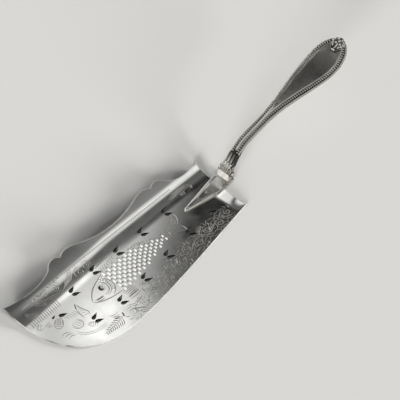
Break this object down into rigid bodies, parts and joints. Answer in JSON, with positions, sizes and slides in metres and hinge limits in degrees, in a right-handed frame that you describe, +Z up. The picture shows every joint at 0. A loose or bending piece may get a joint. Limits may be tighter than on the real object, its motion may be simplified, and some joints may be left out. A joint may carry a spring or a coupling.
{
  "type": "fish server",
  "caption": "Silver fish server with a broad pierced and engraved blade turned up along one wavy side, and an arched bead-edged handle on a V-shaped tongue.",
  "frame": {"origin": "middle of the blade's length on its flat underside, on the handle's line", "axes": "+X from the blade's front towards the handle's end, +Y towards the turned-up side, +Z up"},
  "size_m": [0.295, 0.0715, 0.0516],
  "materials": {
    "blade_silver": "polished silver sheet, finely scratched, engraved and pierced",
    "handle_silver": "polished silver, worn",
    "ornament_silver": "silver with darkened hollows"
  },
  "bodies": {
    "root": {"blade": "blade_silver", "heel_tongue": "handle_silver", "tongue_rivet": "handle_silver", "handle_core": "handle_silver", "neck_leaf": "ornament_silver", "tip_leaf": "ornament_silver", "bead_wire_left": "ornament_silver", "bead_wire_right": "ornament_silver", "rim_wire_left": "handle_silver", "rim_wire_right": "handle_silver"}
  },
  "joints": []
}
